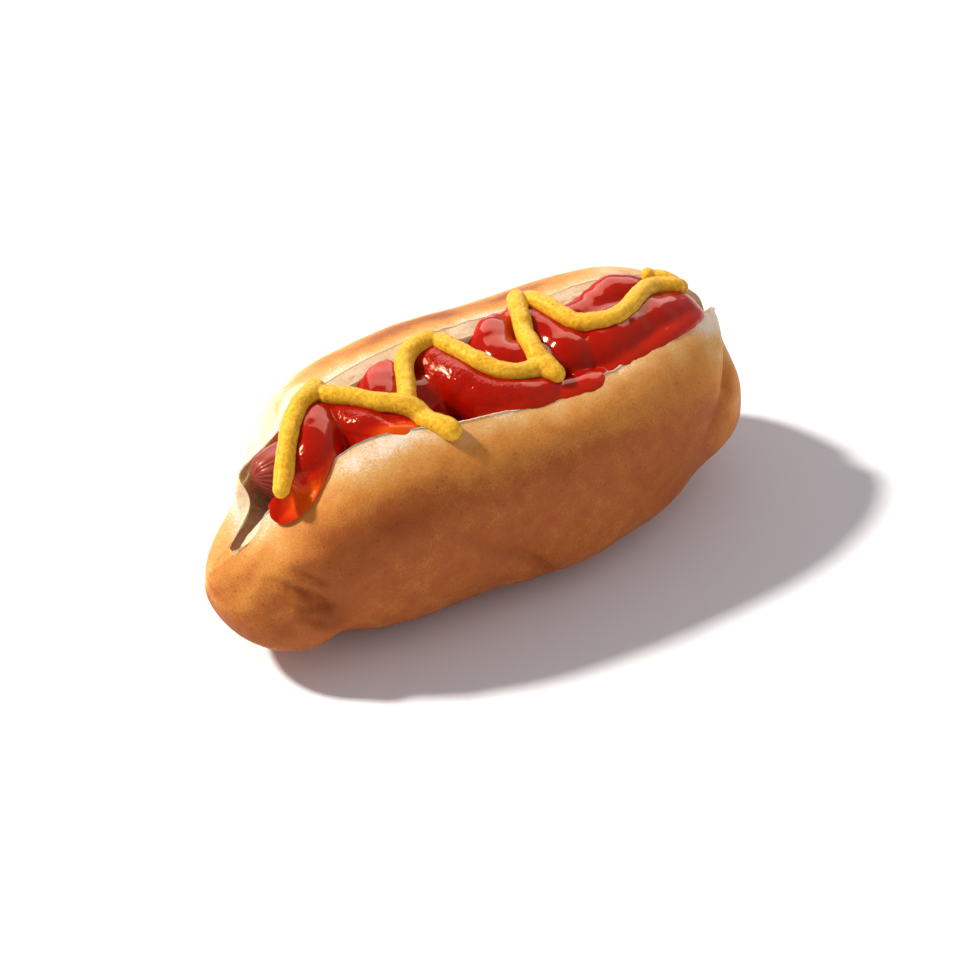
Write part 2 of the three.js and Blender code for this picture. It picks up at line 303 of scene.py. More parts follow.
def melt_together(name: str, bodies: list[tuple[np.ndarray, list[list[int]]]], voxel: float,
                  smoothing: int) -> tuple[np.ndarray, list[list[int]]]:
    """Melts several closed bodies into one smooth skin.

    Args:
        name: Name for the passing mesh.
        bodies: Points and faces of each body, in millimetres.
        voxel: Size of the new mesh's cells, in millimetres.
        smoothing: How many rounds of smoothing follow.

    Returns:
        The points and faces of the melted skin, in millimetres.
    """
    points: list[np.ndarray] = []
    faces: list[list[int]] = []
    first = 0
    for body_points, body_faces in bodies:
        points.append(body_points)
        faces += [[corner + first for corner in face] for face in body_faces]
        first += len(body_points)
    raw = make_piece(name, np.vstack(points), faces)
    remesh = raw.modifiers.new("melt", "REMESH")
    remesh.mode = "VOXEL"
    remesh.voxel_size = voxel * MM
    smooth = raw.modifiers.new("soften", "SMOOTH")
    smooth.factor = 0.5
    smooth.iterations = smoothing
    graph = bpy.context.evaluated_depsgraph_get()
    mesh = bpy.data.meshes.new_from_object(raw.evaluated_get(graph))
    bpy.data.objects.remove(raw)
    melted = bpy.data.objects.new(name, mesh)
    result = points_of(melted), faces_of(melted)
    bpy.data.objects.remove(melted)
    return result


# Finishes


class Nodes:
    """Short words for wiring one material's nodes."""

    def __init__(self, name: str) -> None:
        """Starts a material with a principled shader.

        Args:
            name: Name of the material.
        """
        self.material = bpy.data.materials.new(name)
        self.material.use_nodes = True
        self.tree = self.material.node_tree
        self.shader = self.tree.nodes["Principled BSDF"]
        self.place = self.add("ShaderNodeTexCoord").outputs["Object"]

    def add(self, kind: str, **settings: object) -> bpy.types.Node:
        """Adds a node of a kind with some settings."""
        node = self.tree.nodes.new(kind)
        for key, value in settings.items():
            setattr(node, key, value)
        return node

    def join(self, source: bpy.types.NodeSocket, target: bpy.types.NodeSocket) -> None:
        """Wires one socket to another."""
        self.tree.links.new(source, target)

    def mark(self, name: str) -> bpy.types.NodeSocket:
        """Reads a value kept on the points."""
        return self.add("ShaderNodeAttribute", attribute_name=name).outputs["Fac"]

    def noise(self, size: float, detail: float = 2.0, rough: float = 0.5,
              warp: float = 0.0) -> bpy.types.NodeSocket:
        """Reads smooth noise.

        Args:
            size: Width of a bump in millimetres.
            detail: Layers of finer noise.
            rough: Strength of the finer layers.
            warp: How far the noise is bent by itself.

        Returns:
            A socket of about 0 to 1.
        """
        node = self.add("ShaderNodeTexNoise")
        node.inputs["Scale"].default_value = 1.0 / (size * MM)
        node.inputs["Detail"].default_value = detail
        node.inputs["Roughness"].default_value = rough
        node.inputs["Distortion"].default_value = warp
        self.join(self.place, node.inputs["Vector"])
        return node.outputs["Fac"]

    def cells(self, size: float, feature: str = "F1") -> bpy.types.NodeSocket:
        """Reads the distance to scattered points that lie about size millimetres apart."""
        node = self.add("ShaderNodeTexVoronoi", feature=feature)
        node.inputs["Scale"].default_value = 1.0 / (size * MM)
        self.join(self.place, node.inputs["Vector"])
        return node.outputs["Distance"]

    def sum(self, kind: str, left: object, right: object, clamp: bool = False) -> bpy.types.NodeSocket:
        """Does one piece of arithmetic.

        Args:
            kind: Name of the operation.
            left: A socket or a number.
            right: A socket or a number.
            clamp: Whether the result is kept between 0 and 1.

        Returns:
            The result.
        """
        node = self.add("ShaderNodeMath", operation=kind, use_clamp=clamp)
        for value, target in ((left, node.inputs[0]), (right, node.inputs[1])):
            if isinstance(value, bpy.types.NodeSocket):
                self.join(value, target)
            else:
                target.default_value = value
        return node.outputs[0]

    def centred(self, value: bpy.types.NodeSocket, strength: float) -> bpy.types.NodeSocket:
        """Centres a value of 0 to 1 on 0 and scales it."""
        return self.sum("MULTIPLY", self.sum("SUBTRACT", value, 0.5), strength)

    def spread(self, value: bpy.types.NodeSocket, low: float, high: float,
               to_low: float = 0.0, to_high: float = 1.0) -> bpy.types.NodeSocket:
        """Maps a range onto another and clamps it."""
        node = self.add("ShaderNodeMapRange", clamp=True)
        self.join(value, node.inputs["Value"])
        node.inputs["From Min"].default_value = low
        node.inputs["From Max"].default_value = high
        node.inputs["To Min"].default_value = to_low
        node.inputs["To Max"].default_value = to_high
        return node.outputs["Result"]

    def ramp(self, value: bpy.types.NodeSocket,
             stops: Sequence[tuple[float, tuple[float, float, float]]]) -> bpy.types.NodeSocket:
        """Turns a value into a colour by stops of place and colour."""
        node = self.add("ShaderNodeValToRGB")
        scale = node.color_ramp.elements
        while len(scale) < len(stops):
            scale.new(0.5)
        for stop, (place, colour) in zip(scale, stops):
            stop.position = place
            stop.color = (*colour, 1.0)
        self.join(value, node.inputs["Fac"])
        return node.outputs["Color"]

    def blend(self, share: object, first: object, second: object,
              kind: str = "MIX") -> bpy.types.NodeSocket:
        """Mixes two colours.

        Args:
            share: How much of the second colour, as a socket or a number.
            first: First colour, as a socket or three numbers.
            second: Second colour, as a socket or three numbers.
            kind: Name of the way of mixing.

        Returns:
            The mixed colour.
        """
        node = self.add("ShaderNodeMix", data_type="RGBA", blend_type=kind)
        for value, target in ((share, node.inputs[0]), (first, node.inputs[6]), (second, node.inputs[7])):
            if isinstance(value, bpy.types.NodeSocket):
                self.join(value, target)
            elif isinstance(value, tuple):
                target.default_value = (*value, 1.0)
            else:
                target.default_value = value
        return node.outputs[2]

    def bump(self, height: bpy.types.NodeSocket, strength: float, depth: float) -> None:
        """Roughens the surface by a height, with its depth in millimetres."""
        node = self.add("ShaderNodeBump")
        node.inputs["Strength"].default_value = strength
        node.inputs["Distance"].default_value = depth * MM
        self.join(height, node.inputs["Height"])
        self.join(node.outputs["Normal"], self.shader.inputs["Normal"])

    def set(self, **values: object) -> None:
        """Sets the shader's own sockets, with underscores for spaces in their names."""
        for key, value in values.items():
            self.shader.inputs[key.replace("_", " ")].default_value = value


@dataclass(frozen=True)
class BreadFinish:
    """Baked crust that browns by a mark kept on the points, which also carries painted shade in the creases
    and a painted light patch on the left heel; pale crumb where it is cut, with painted shade in its pores.
    """

    cream: tuple[float, float, float] = (0.86, 0.72, 0.54)
    pale: tuple[float, float, float] = (0.73, 0.40, 0.125)
    golden: tuple[float, float, float] = (0.65, 0.25, 0.043)
    brown: tuple[float, float, float] = (0.40, 0.105, 0.018)
    dark: tuple[float, float, float] = (0.25, 0.048, 0.008)
    crumb: tuple[float, float, float] = (0.85, 0.60, 0.36)
    mottle_size: float = 4.0
    mottle: float = 0.30
    grain_size: float = 0.42
    grain: float = 0.46
    freckle_spacing: float = 2.9
    pore_spacing: float = 0.9

    def make(self) -> bpy.types.Material:
        """Makes the material."""
        nodes = Nodes("bread")
        # The mark holds the baked browning plus painted shade in the creases and a painted light patch on
        # the left heel.
        toast_and_shading = nodes.mark("toast_and_shading")
        mottle = nodes.centred(nodes.noise(self.mottle_size, 4.0, 0.5), self.mottle)
        grain = nodes.centred(nodes.noise(self.grain_size, 3.0, 0.65), self.grain)
        level = nodes.sum("ADD", toast_and_shading, nodes.sum("ADD", mottle, grain), clamp=True)
        crust = nodes.ramp(level, ((0.0, self.cream), (0.18, self.pale), (0.40, self.golden),
                                   (0.68, self.brown), (1.0, self.dark)))
        freckle = nodes.spread(nodes.cells(self.freckle_spacing), 0.10, 0.16, 0.65, 0.0)
        crust = nodes.blend(nodes.sum("MULTIPLY", freckle, toast_and_shading), crust, self.dark)
        cut = nodes.spread(
            nodes.sum("ADD", nodes.mark("cut"), nodes.sum("MULTIPLY", nodes.noise(0.8, 3.0), 0.3)),
            0.45, 0.75)
        # Painted shade: the crumb darkens towards the middle of each pore.
        pore = nodes.spread(nodes.cells(self.pore_spacing), 0.10, 0.45, 0.84, 1.0)
        crumb = nodes.blend(1.0, self.crumb, pore, "MULTIPLY")
        nodes.join(nodes.blend(cut, crust, crumb), nodes.shader.inputs["Base Color"])
        sheen_map = nodes.spread(nodes.noise(0.35, 2.0), 0.3, 0.7, 0.42, 0.68)
        nodes.join(sheen_map, nodes.shader.inputs["Roughness"])
        height = nodes.sum("ADD", nodes.noise(0.45, 4.0, 0.6),
                           nodes.sum("MULTIPLY", nodes.noise(1.6, 3.0, 0.6), 0.8))
        nodes.bump(height, 0.55, 0.22)
        nodes.set(Subsurface_Weight=0.25, Subsurface_Radius=(1.0, 0.45, 0.2), Subsurface_Scale=0.0022,
                  Specular_IOR_Level=0.16)
        return nodes.material


@dataclass(frozen=True)
class SausageFinish:
    """Moist cured skin, with painted shade in the gathered folds at its ends."""

    skin: tuple[float, float, float] = (0.36, 0.052, 0.024)
    # Painted shade colour for the gathered folds at the tied ends.
    deep: tuple[float, float, float] = (0.13, 0.012, 0.007)

    def make(self) -> bpy.types.Material:
        """Makes the material."""
        nodes = Nodes("sausage")
        # Painted shade: the fold mark darkens the skin in the gathers at the tied ends.
        tone = nodes.sum("ADD", nodes.sum("MULTIPLY", nodes.noise(3.5, 4.0, 0.6), 0.5), nodes.mark("fold"))
        colour = nodes.ramp(tone, ((0.15, self.skin), (0.9, self.deep)))
        nodes.join(colour, nodes.shader.inputs["Base Color"])
        nodes.bump(nodes.noise(0.7, 3.0), 0.3, 0.12)
        nodes.set(Roughness=0.36, Subsurface_Weight=0.35, Subsurface_Radius=(1.0, 0.3, 0.15),
                  Subsurface_Scale=0.003, Specular_IOR_Level=0.3, Specular_Tint=(1.0, 0.6, 0.5, 1.0),
                  Coat_Weight=0.06, Coat_Roughness=0.12)
        return nodes.material


@dataclass(frozen=True)
class KetchupFinish:
    """Wet tomato ketchup that turns orange where it is thin."""

    deep: tuple[float, float, float] = (0.35, 0.004, 0.001)
    red: tuple[float, float, float] = (0.58, 0.013, 0.001)
    thin: tuple[float, float, float] = (0.74, 0.085, 0.002)

    def make(self) -> bpy.types.Material:
        """Makes the material."""
        nodes = Nodes("ketchup")
        thin = nodes.sum("ADD", nodes.mark("thin"), nodes.centred(nodes.noise(2.0, 3.0), 0.25))
        nodes.join(nodes.ramp(thin, ((0.0, self.deep), (0.35, self.red), (0.9, self.thin))),
                   nodes.shader.inputs["Base Color"])
        grain = nodes.sum("MULTIPLY", nodes.noise(0.8, 2.0),
                          nodes.spread(nodes.mark("ripple"), 0.1, 0.6, 0.05, 1.0))
        nodes.bump(grain, 0.9, 0.24)
        nodes.set(Roughness=0.10, Subsurface_Weight=0.4, Subsurface_Radius=(1.0, 0.08, 0.02),
                  Subsurface_Scale=0.002, Specular_IOR_Level=0.5, Specular_Tint=(1.0, 0.36, 0.16, 1.0),
                  Coat_Weight=0.05, Coat_Roughness=0.06)
        return nodes.material


@dataclass(frozen=True)
class MustardFinish:
    """Grainy yellow mustard with fine darker specks."""

    yellow: tuple[float, float, float] = (0.86, 0.50, 0.035)
    ochre: tuple[float, float, float] = (0.66, 0.31, 0.02)
    speck: tuple[float, float, float] = (0.22, 0.10, 0.02)

    def make(self) -> bpy.types.Material:
        """Makes the material."""
        nodes = Nodes("mustard")
        body = nodes.ramp(nodes.noise(0.9, 4.0, 0.7), ((0.35, self.ochre), (0.6, self.yellow)))
        specks = nodes.spread(nodes.cells(2.1), 0.08, 0.14, 0.6, 0.0)
        nodes.join(nodes.blend(specks, body, self.speck), nodes.shader.inputs["Base Color"])
        nodes.bump(nodes.noise(0.42, 3.0, 0.6), 0.5, 0.14)
        nodes.set(Roughness=0.38, Subsurface_Weight=0.4, Subsurface_Radius=(1.0, 0.6, 0.08),
                  Subsurface_Scale=0.0015, Specular_IOR_Level=0.25, Specular_Tint=(1.0, 0.75, 0.2, 1.0))
        return nodes.material


@dataclass(frozen=True)
class FloorFinish:
    """Plain white board."""

    white: tuple[float, float, float] = (0.88, 0.875, 0.87)

    def make(self) -> bpy.types.Material:
        """Makes the material."""
        nodes = Nodes("floor")
        tone = nodes.ramp(nodes.noise(300.0), ((0.0, self.white), (1.0, self.white)))
        nodes.join(tone, nodes.shader.inputs["Base Color"])
        nodes.set(Roughness=0.9, Specular_IOR_Level=0.1)
        return nodes.material


# The bun


@dataclass(frozen=True)
class Swelling:
    """A local swelling or hollow of the bun."""

    at: tuple[float, float, float]
    reach: tuple[float, float, float]
    by: tuple[float, float, float]


@dataclass(frozen=True)
class Fold:
    """A crease in the crust that fades along its line, with a bulge on one side of it."""

    line: tuple[tuple[float, float, float], ...]
    width: float
    depth: float
    bulge: float = 0.0
    bulge_side: tuple[float, float, float] = (0.0, 0.0, 0.0)

    def push(self, points: np.ndarray) -> np.ndarray:
        """Works out how far each point moves outwards.

        Args:
            points: Points, one a row.

        Returns:
            One distance a point, below 0 in the crease.
        """
        gap, along = distance_to_path(points, self.line)
        fade = 1.0 - along**3
        result = -self.depth * fade * np.exp(-np.abs(gap / self.width) ** 1.4)
        if self.bulge:
            beside, _ = distance_to_path(points, np.asarray(self.line) + np.asarray(self.bulge_side))
            result += self.bulge * fade * np.exp(-((beside / (2.6 * self.width)) ** 2))
        return result

    def near(self, points: np.ndarray) -> np.ndarray:
        """Weighs points by how near they lie to the crease, 1 in it, for the painted shade in the crease.
        """
        gap, along = distance_to_path(points, self.line)
        return (1.0 - along**3) * np.exp(-((gap / (1.3 * self.width)) ** 2))


@dataclass(frozen=True)
class Spot:
    """A place of the crust that is browner or paler than the rest."""

    at: tuple[float, float, float]
    reach: tuple[float, float, float]
    by: float


@dataclass(frozen=True)
class Bake:
    """How brown the crust is, from 0, pale, to 1, dark, and how far from the lips it browns, with painted
    shade in the creases and a painted light patch on the left heel.
    """

    near_lip: float = 0.17
    near_shoulder: float = 0.23
    near_flank: float = 0.30
    far_lip: float = 0.05
    far_band: float = 0.72
    far_band_way: float = 8.0
    far_band_reach: float = 5.5
    far_band_half_length: float = 38.0
    far_flank: float = 0.50
    left_end: float = 0.30
    right_end: float = -0.32
    far_right_end: float = 0.36
    blotches: float = 0.14
    # Painted shade: darkens the crust along the creases.
    crease_shade: float = 0.06
    spots: tuple[Spot, ...] = (
        Spot((-38, -22, 42), (16, 12, 8), 0.16),
        Spot((-36, -14, 50), (14, 6, 8), -0.24),
        # Painted light: paler left heel, where the low sun from the left and behind falls on it.
        Spot((-68, -14, 36), (14, 14, 12), -0.10),
    )


@dataclass
class SausageForm:
    """Sizes of the sausage, which the bun's cut also follows."""

    radius: float = 11.5
    left_tip: float = -59.0
    right_tip: float = 60.0
    axis_y: float = 1.5
    axis_height: float = 32.0
    left_rise: float = 12.8
    left_bend: float = 1.5
    right_rise: float = 3.0
    left_end_squareness: float = 4.5
    right_end_squareness: float = 7.0

    def height(self, x: np.ndarray | float) -> np.ndarray:
        """Finds the height of the middle line at x."""
        x = np.asarray(x, float)
        rise = np.where(x < 0, self.left_rise, self.right_rise)
        return self.axis_height + rise * (x / self.right_tip) ** 2

    def side(self, x: np.ndarray | float) -> np.ndarray:
        """Finds the middle line's place across the bun at x."""
        x = np.asarray(x, float)
        return self.axis_y + np.where(x < 0, self.left_bend, 0.0) * (x / self.right_tip) ** 2

    def girth(self, x: np.ndarray | float) -> np.ndarray:
        """Finds the radius at x, 0 beyond the tips."""
        middle = (self.left_tip + self.right_tip) / 2
        half = (self.right_tip - self.left_tip) / 2
        share = np.clip((np.asarray(x, float) - middle) / half, -1.0, 1.0)
        power = np.where(share < 0, self.left_end_squareness, self.right_end_squareness)
        return self.radius * np.sqrt(1.0 - np.abs(share) ** power)


@dataclass
class Bun:
    """The split bun: a loaf with rounded ends, cut open along its top."""

    sausage: SausageForm
    half_length: float = 70.0
    near_width: float = 33.0
    far_width: float = 33.0
    waist_height: float = 25.0
    above_waist: float = 31.0
    below_waist: float = 26.0
    end_roundness: float = 2.6
    top_roundness: float = 2.3
    base_roundness: float = 3.0
    heel_base_roundness: float = 3.9
    heel_squares_over: tuple[float, float] = (-45.0, -62.0)
    bow: float = 3.0
    lean: float = -1.5
    near_lip_angle: float = 30.0
    left_near_lip_angle: float = 22.0
    near_lip_opens_over: tuple[float, float] = (-40.0, -12.0)
    near_lip_dip: float = 8.0
    near_lip_dip_at: float = -63.0
    near_lip_dip_reach: float = 6.0
    tip_near_lip_turn: float = 14.0
    near_lip_turns_over: tuple[float, float] = (-66.5, -68.5)
    far_lip_angle: float = 17.0
    left_far_lip_angle: float = 35.0
    far_lip_opens_over: tuple[float, float] = (-38.0, -56.0)
    tip_far_lip_turn: float = 50.0
    far_lip_turns_over: tuple[float, float] = (-61.5, -70.5)
    closed_lip_angle: float = 5.0
    closed_from: float = 0.995
    closes_over: float = 0.012
    right_opens_by: float = 0.74
    cut_squareness: float = 2.6
    left_cut_squareness: float = 4.5
    cut_squares_over: tuple[float, float] = (-50.0, -62.0)
    cut_floor_left: float = 29.5
    cut_floor_right: float = 27.0
    far_shelf: float = 4.0
    near_shelf: float = 0.5
    shelf_starts_over: tuple[float, float] = (-60.0, -46.0)
    shelf_ends_over: tuple[float, float] = (66.0, 50.0)
    shelf_slope: float = 0.30
    trench_slope: float = 5.0
    clearance: float = 0.3
    inset: float = 0.3
    wide_lumps: float = 0.30
    small_lumps: float = 0.18
    crust_grain: float = 0.05
    crumb_pits: float = 0.35
    crumb_relief: float = 0.45
    torn_crust_reach: float = 2.0
    torn_crumb_reach: float = 1.5
    tear_height: float = 0.75
    tear_width: float = 0.9
    crust_rim: float = 0.9
    bake: Bake = Bake()
    stations: int = 320
    outside_points: int = 190
    cut_points: int = 90
    swellings: tuple[Swelling, ...] = (
        Swelling((-30, 20, 50), (22, 22, 30), (-1, 0, 2)),
        Swelling((-4, 20, 54), (14, 22, 20), (0, 0, 1.3)),
        Swelling((18, 20, 54), (16, 22, 20), (0, 0, -1.3)),
        Swelling((46, 16, 48), (22, 22, 30), (5, 2, 0.3)),
        Swelling((12, -14, 52), (26, 14, 20), (0, -4, -3)),
        Swelling((-14, -33, 8), (20, 16, 16), (0, 1.5, 0.5)),
        Swelling((8, -32, 8), (15, 14, 15), (0, -3.2, 0)),
        Swelling((52, -28, 8), (11, 16, 22), (-0.5, 3.2, 0)),
        Swelling((-49, -27, 4), (6, 12, 12), (0, 3.5, 1)),
        Swelling((-66, -18, 6), (15, 14, 14), (0, -3.6, 0)),
        Swelling((-68, -8, 2), (17, 20, 9), (-8.0, 0.5, 0)),
        Swelling((-68, 3, 17), (20, 24, 15), (-6.2, -1, 0)),
        Swelling((-69, 5, 31), (9, 10, 7), (-3.8, 0, 0)),
        Swelling((-63, 10, 41), (8, 8, 8), (-10, 0, 3)),
        Swelling((-72, 9, 46), (24, 26, 14.5), (13, 0, 0)),
        Swelling((-67, 22, 34), (17, 16, 30), (7, -7, 0)),
        Swelling((-52, -14, 46), (16, 12, 14), (2, 0, 1)),
        Swelling((50, -12, 46), (16, 12, 16), (0, 2, 2)),
        Swelling((65, -8, 48), (9, 14, 7), (3.6, 0, 0.5)),
        Swelling((68, -8, 35), (10, 20, 5.5), (-2.6, 0, 0)),
        Swelling((70, -6, 12), (14, 30, 14), (1, 0, 0)),
        Swelling((70, -8, 27), (8, 14, 7), (-1.3, 0, 0)),
    )
    folds: tuple[Fold, ...] = (
        Fold(((-48, -28, 2), (-50, -26, 12), (-54, -24.5, 20), (-58, -22, 25), (-61, -20, 28),
              (-64, -18, 29)), 1.7, 3.2, 1.4, (-4, -1, -2)),
        Fold(((-53, -25, 17), (-58, -23, 20), (-63, -19, 22.5)), 1.0, 1.3, 0.5, (-1, 0, -2)),
        Fold(((-55, -24, 22), (-60, -21, 23.5), (-65, -17, 25)), 0.9, 1.1, 0.4, (-1, 0, -2)),
        Fold(((-56, -21, 30), (-60, -19, 32), (-64, -15, 33)), 1.2, 1.2, 0.5, (1, 0, 2)),
        Fold(((-60, -20, 27), (-64, -17, 29.5), (-67, -13, 30)), 1.0, 1.0, 0.4, (1, 0, 2)),
        Fold(((1, -29, 5), (0, -29, 10), (-4, -30, 16), (-9, -30, 21), (-16, -30, 26), (-23, -29, 33),
              (-26, -27, 37)), 1.4, 1.9, 1.1, (-4, 0, -5)),
        Fold(((67, -6, 42), (62, -16, 38), (57, -23, 34), (53, -26, 31), (50, -27, 25), (47, -28, 18)),
             1.8, 3.2, 0.9, (4, 1, -3)),
        Fold(((-33, -27, 4), (-32, -28, 12), (-32, -29, 17)), 1.1, 1.1, 0.4, (3, 0, 0)),
    )

    def section(self, along: float) -> tuple[np.ndarray, np.ndarray]:
        """Draws one section of the loaf.

        Args:
            along: Place along the bun, 0 to 1.

        Returns:
            The ring's points, and for each of them the way along the surface from the near
            and from the far lip in millimetres, below 0 in the cut, and how open the cut is.
        """
        cosine = -math.cos(math.pi * along)
        x = self.half_length * cosine
        size = max((1 - abs(cosine) ** self.end_roundness) ** (1 / self.end_roundness), 0.001)
        middle = self.bow * (1 - cosine * cosine) + self.lean * cosine
        end = float(ease(self.half_length, self.half_length * self.right_opens_by, x))
        widening = self.near_lip_angle - self.left_near_lip_angle
        dip = math.exp(-(((x - self.near_lip_dip_at) / self.near_lip_dip_reach) ** 2))
        near_angle = (self.left_near_lip_angle + widening * float(ease(*self.near_lip_opens_over, x))
                      - self.near_lip_dip * dip
                      + self.tip_near_lip_turn * float(ease(*self.near_lip_turns_over, x)))
        widening = self.left_far_lip_angle - self.far_lip_angle
        far_angle = (self.far_lip_angle + widening * float(ease(*self.far_lip_opens_over, x))
                     - self.tip_far_lip_turn * float(ease(*self.far_lip_turns_over, x)))
        near = math.radians(self.closed_lip_angle + (near_angle - self.closed_lip_angle) * end)
        far = math.radians(self.closed_lip_angle + (far_angle - self.closed_lip_angle) * end)
        fuller = self.heel_base_roundness - self.base_roundness
        base = self.base_roundness + fuller * float(ease(*self.heel_squares_over, x))
        squarer = self.left_cut_squareness - self.cut_squareness
        squareness = self.cut_squareness + squarer * float(ease(*self.cut_squares_over, x))

        def crust(angle: np.ndarray) -> np.ndarray:
            """Finds points of the crust at angles from the top."""
            sine, rise = np.sin(angle), np.cos(angle)
            width = size * np.where(sine < 0, self.near_width, self.far_width)
            height = size * np.where(rise > 0, self.above_waist, self.below_waist)
            power = np.where(rise > 0, self.top_roundness, base)
            radius = (np.abs(sine / width) ** power + np.abs(rise / height) ** power) ** (-1 / power)
            return np.stack([middle + radius * sine, self.waist_height + radius * rise], axis=-1)

        resting = float(self.sausage.height(x)) - self.sausage.radius - self.clearance
        left = float(ease(-self.half_length * 0.8, -self.half_length, x))
        right = float(ease(self.half_length * 0.7, self.half_length, x))
        floor = (resting + (self.cut_floor_left - resting) * left
                 + (self.cut_floor_right - resting) * right)
        near_lip, far_lip = crust(np.array([-near, far]))
        closed = -self.half_length * self.closed_from
        opened = -self.half_length * (self.closed_from - self.closes_over)
        cut_share = float(ease(0, 8, (near_lip[1] + far_lip[1]) / 2 - floor) * ease(closed, opened, x))
        share = np.arange(self.cut_points) / self.cut_points
        across = (1 - signed_power(np.cos(np.pi * share), 2 / squareness)) / 2
        line = near_lip[1] + (far_lip[1] - near_lip[1]) * across
        drop = np.maximum(0, line - floor) * np.sin(np.pi * share) ** (2 / squareness)
        gap = abs(far_lip[1] - near_lip[1]) + abs(far_lip[0] - near_lip[0])
        inner = float(ease(*self.shelf_starts_over, x) * ease(*self.shelf_ends_over, x))
        for away, shelf in (((1 - across) * gap, self.far_shelf * inner),
                            (across * gap, self.near_shelf * inner)):
            steep = self.trench_slope * np.maximum(0.0, away - shelf)
            drop = np.minimum(drop, self.shelf_slope * away + steep)
        trench = np.stack([near_lip[0] + (far_lip[0] - near_lip[0]) * across, line - drop], axis=-1)
        cut = crust(-near + share * (near + far)) * (1 - cut_share) + trench * cut_share
        turn = np.arange(self.outside_points) / self.outside_points
        outside = crust(far + turn * (2 * math.pi - near - far))
        loop = np.vstack([cut, outside])
        ring = np.column_stack([np.full(len(loop), x), loop])
        crust_steps = np.linalg.norm(np.diff(outside, axis=0, append=near_lip[None]), axis=1)
        crust_way = np.cumsum(crust_steps) - crust_steps
        cut_steps = np.linalg.norm(np.diff(cut, axis=0, append=far_lip[None]), axis=1)
        cut_way = np.cumsum(cut_steps) - cut_steps
        from_near = np.concatenate([-cut_way, crust_steps.sum() - crust_way])
        from_far = np.concatenate([cut_way - cut_steps.sum(), crust_way])
        inside = np.concatenate([np.full(self.cut_points, cut_share), np.zeros(self.outside_points)])
        return ring, np.column_stack([from_near, from_far, inside])

    def swell(self, points: np.ndarray) -> np.ndarray:
        """Moves points by the swellings."""
        moved = points.copy()
        for swelling in self.swellings:
            moved += bell(points, swelling.at, swelling.reach)[:, None] * np.array(swelling.by, float)
        return moved

    def seat(self, points: np.ndarray) -> np.ndarray:
        """Presses points out of the sausage's way."""
        axis = np.column_stack([points[:, 0], self.sausage.side(points[:, 0]),
                                self.sausage.height(points[:, 0])])
        away = points - axis
        distance = np.maximum(np.linalg.norm(away, axis=1), 1e-6)
        wanted = self.sausage.girth(points[:, 0]) + self.clearance
        inside = (distance < wanted) & (wanted > self.clearance)
        return np.where(inside[:, None], axis + away * (wanted / distance)[:, None], points)

    def build(self) -> bpy.types.Object:
        """Builds the bun with its folds, torn lips and crumb.

        Returns:
            The piece.
        """
        rings, ways = zip(*(self.section(row / self.stations) for row in range(1, self.stations)))
        start = np.array([-self.half_length, -self.lean, self.waist_height])
        end = np.array([self.half_length, self.lean, self.waist_height])
        points, faces = loft(np.stack(rings), start, end)
        way = np.vstack([*ways, [[60.0, 60.0, 0.0]] * 2])
        points = self.seat(self.swell(points))
        points = self.roughen(points, faces, way)
        points[:, 2] = np.maximum(points[:, 2], 0.0)
        rim = self.crust_rim + 0.8 * Noise(61).layered(points, 5.0, 3)
        nearer = way[:, 0] > way[:, 1]
        cut = way[:, 2] * np.where(nearer, ease(rim, rim + self.crust_rim, -way[:, 0]), 1.0)
        return make_piece("bun_bread", points, faces, {"toast_and_shading": self.toast_and_shading(points, way), "cut": cut})

    def roughen(self, points: np.ndarray, faces: list[list[int]], way: np.ndarray) -> np.ndarray:
        """Gives the crust its lumps and folds, and the cut its torn lips and crumb.

        Args:
            points: Points, one a row.
            faces: Faces of three or four corners.
            way: Way from the near and the far lip in millimetres and openness of the cut.

        Returns:
            The moved points.
        """
        outward = normals_of(points, faces)
        lumps = Noise(11)
        push = (self.wide_lumps * lumps.smooth(points, 26.0) + self.small_lumps * lumps.smooth(points, 9.0)
                + self.crust_grain * lumps.layered(points, 2.6, 2) - self.inset)
        for fold in self.folds:
            push += fold.push(points)
        crumb = Noise(23)
        depth = np.minimum(np.abs(way[:, 0]), np.abs(way[:, 1]))
        open_part = ease(0.6, 3.0, depth) * way[:, 2]
        pits = ease(0.45, 0.10, crumb.pores(points, 1.9))
        push -= open_part * (self.crumb_pits * pits + self.crumb_relief * crumb.layered(points, 4.0, 4))
        tear = Noise(37)
        reach = np.where(way[:, 0] > 0, self.torn_crust_reach, self.torn_crumb_reach)
        ragged = np.exp(-((depth / reach) ** 2))
        where = points * np.array([1.0, 0.3, 0.3])
        jag = 1.1 * tear.layered(where, 7.0, 4) + 0.7 * tear.layered(where + 90.0, 2.2, 2)
        right_lip = ease(10, 26, points[:, 0]) * ease(2.0, -2.0, points[:, 1])
        amount = 0.25 + 0.75 * np.maximum(right_lip, ease(-0.1, 0.5, tear.smooth(where + 40.0, 21.0)))
        moved = points + outward * push[:, None]
        moved[:, 2] += ragged * amount * (self.tear_height * jag - 0.15)
        moved[:, 1] += ragged * amount * self.tear_width * tear.layered(points + 50.0, 3.0, 3)
        return moved

